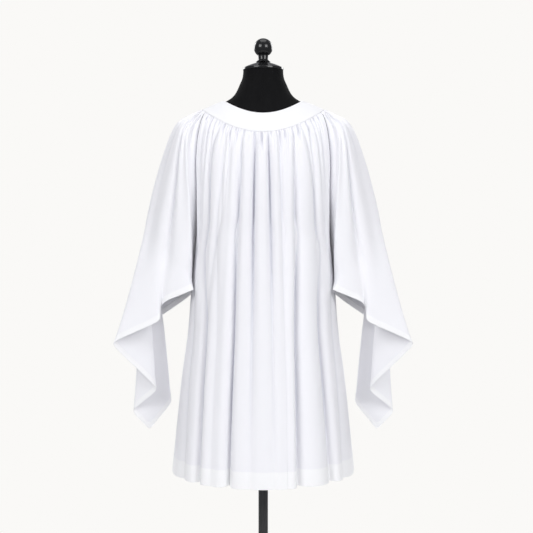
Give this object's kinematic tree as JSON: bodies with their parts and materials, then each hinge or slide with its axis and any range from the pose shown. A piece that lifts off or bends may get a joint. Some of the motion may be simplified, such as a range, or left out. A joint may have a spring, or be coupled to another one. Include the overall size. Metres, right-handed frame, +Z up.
{
  "type": "surplice on dress form",
  "caption": "White cotton surplice with a round yoke, gathered body and wide pointed sleeves, on a limbless black dress form that stands on a round base.",
  "frame": {"origin": "centre of the base's underside, on the floor", "axes": "+Z up, the wearer faces +Y, and +X is the wearer's right"},
  "size_m": [0.7862, 0.386, 1.666],
  "materials": {
    "yoke_back_cloth": "matt white cotton blend, double",
    "yoke_front_cloth": "matt white cotton blend, double",
    "back_cloth": "matt white cotton blend",
    "front_cloth": "matt white cotton blend",
    "left_sleeve_cloth": "matt white cotton blend",
    "right_sleeve_cloth": "matt white cotton blend",
    "form_jersey": "matt black jersey",
    "cap_lacquer": "gloss black",
    "finial_lacquer": "gloss black",
    "pole_paint": "satin black paint",
    "base_paint": "satin black paint"
  },
  "bodies": {
    "root": {"yoke_back": "yoke_back_cloth", "yoke_front": "yoke_front_cloth", "body_back": "back_cloth", "body_front": "front_cloth", "sleeve_left": "left_sleeve_cloth", "sleeve_right": "right_sleeve_cloth", "form_torso": "form_jersey", "form_neck_cap": "cap_lacquer", "form_finial": "finial_lacquer", "form_pole": "pole_paint", "form_base": "base_paint"}
  },
  "joints": []
}
